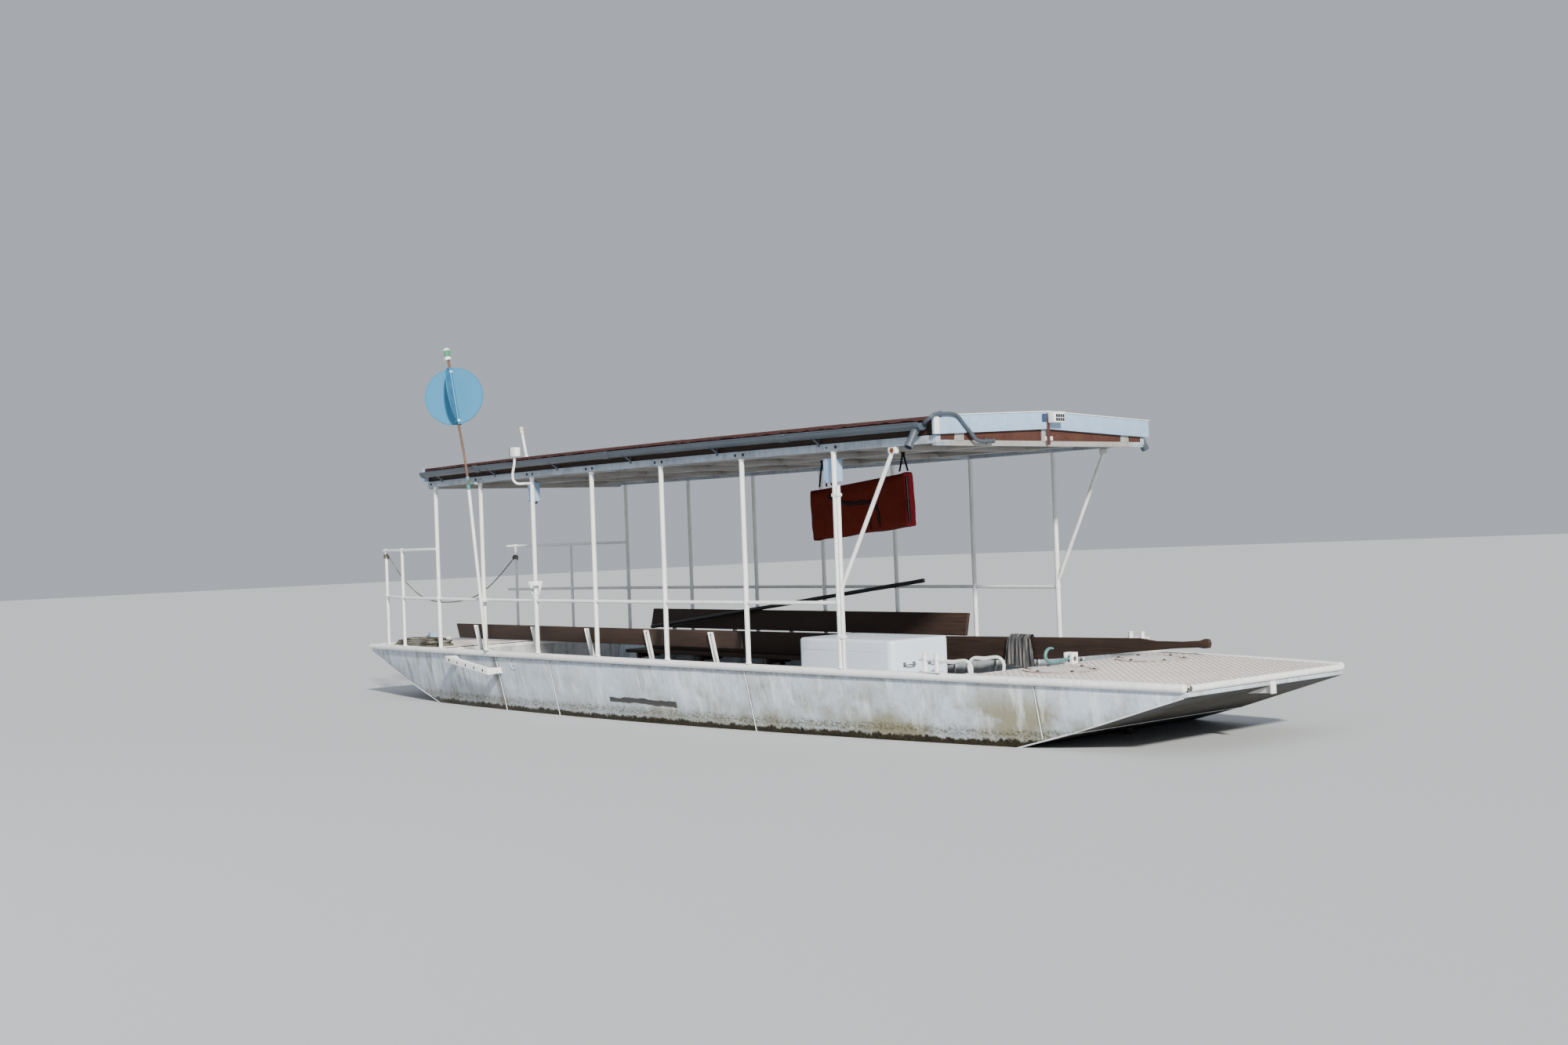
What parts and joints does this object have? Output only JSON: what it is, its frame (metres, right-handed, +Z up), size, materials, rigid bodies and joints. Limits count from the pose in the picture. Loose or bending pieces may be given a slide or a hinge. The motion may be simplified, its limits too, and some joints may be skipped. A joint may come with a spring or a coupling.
{
  "type": "passenger ferry",
  "caption": "Open flat-bottomed passenger ferry with raked ends, side benches, a roof on tube posts, a boxed inboard engine and a signal mast.",
  "frame": {"origin": "on the flat bottom of the hull, amidships on its centre line", "axes": "+X towards the stern with the engine, +Y to starboard, +Z up"},
  "size_m": [11.518, 3.3678, 3.9999],
  "materials": {
    "hull_paint": "weathered",
    "white_paint": "satin",
    "floor_paint": "matte",
    "deck_paint": "satin",
    "dark_wood": "matte",
    "pole_black": "matte",
    "roof_felt": "matte",
    "light_blue_paint": "satin",
    "gutter_plastic": "matte",
    "hood_plastic": "gloss",
    "engine_iron": "oily",
    "bare_steel": "satin",
    "bronze": "satin",
    "teal_paint": "satin",
    "sign_paint": "satin",
    "lamp_plastic": "gloss",
    "red_cloth": "matte",
    "webbing": "matte",
    "grey_cloth": "matte",
    "rope_fibre": "matte"
  },
  "bodies": {
    "boat": {"hull": "hull_paint", "gunwale_port": "white_paint", "gunwale_starboard": "white_paint", "floor": "floor_paint", "bulkhead_bow": "hull_paint", "bulkhead_stern": "hull_paint", "bow_deck": "deck_paint", "stern_deck": "deck_paint", "deck_cover_port": "deck_paint", "deck_cover_starboard": "deck_paint", "bench_port": "dark_wood", "bench_starboard": "dark_wood", "bench_bars_port": "white_paint", "bench_bars_starboard": "white_paint", "back_board_port": "dark_wood", "back_board_starboard": "dark_wood", "long_board": "dark_wood", "push_pole": "pole_black", "post_frame_port": "white_paint", "post_frame_starboard": "white_paint", "gate_rail_port": "white_paint", "gate_rail_starboard": "white_paint", "roof_frame": "white_paint", "roof_sheet": "roof_felt", "fascia_bow": "light_blue_paint", "fascia_stern": "light_blue_paint", "gutter_port": "gutter_plastic", "gutter_starboard": "gutter_plastic", "cable_pipe": "gutter_plastic", "peak_lamp": "white_paint", "engine": "engine_iron", "helm_seat": "white_paint", "stern_tube": "hull_paint", "rudder_trunk": "hull_paint", "bollard_port": "white_paint", "bollard_starboard": "white_paint", "fairlead": "white_paint", "side_step": "white_paint", "stern_knee": "white_paint", "hook_clevis": "white_paint", "signal_mast": "white_paint", "signal_discs": "sign_paint", "signal_lamp": "lamp_plastic", "work_lamp": "white_paint", "whip_stub": "white_paint", "ring_holder": "white_paint", "junction_box_stern": "light_blue_paint", "junction_box_bow": "light_blue_paint", "hanging_pad": "red_cloth", "pad_strap_bow": "webbing", "pad_strap_stern": "webbing", "towel": "grey_cloth", "gate_rope": "rope_fibre", "mooring_rope": "rope_fibre", "rope_heap": "rope_fibre"},
    "hood": {"engine_hood": "hood_plastic"},
    "screw": {"propeller": "bronze", "propeller_shaft": "bare_steel"},
    "rudder_blade": {"rudder": "hull_paint"},
    "hook": {"tow_hook": "teal_paint"}
  },
  "joints": [
    {"name": "hood_hinge", "type": "hinge", "parent": "boat", "child": "hood", "pos_m": [1.113, 0, 0.305], "axis": [0, -1, 0], "range_deg": [0, 60]},
    {"name": "screw_spin", "type": "hinge", "parent": "boat", "child": "screw", "pos_m": [4.2, 0, 0.15], "axis": [0.997, 0, -0.0768], "continuous": true},
    {"name": "rudder_steer", "type": "hinge", "parent": "boat", "child": "rudder_blade", "pos_m": [4.48, 0, 0.2], "axis": [0, 0, 1], "range_deg": [-35, 35]},
    {"name": "hook_pivot", "type": "hinge", "parent": "boat", "child": "hook", "pos_m": [4.05, -0.125, 0.917], "axis": [-1, 0, 0], "range_deg": [0, 90]}
  ]
}
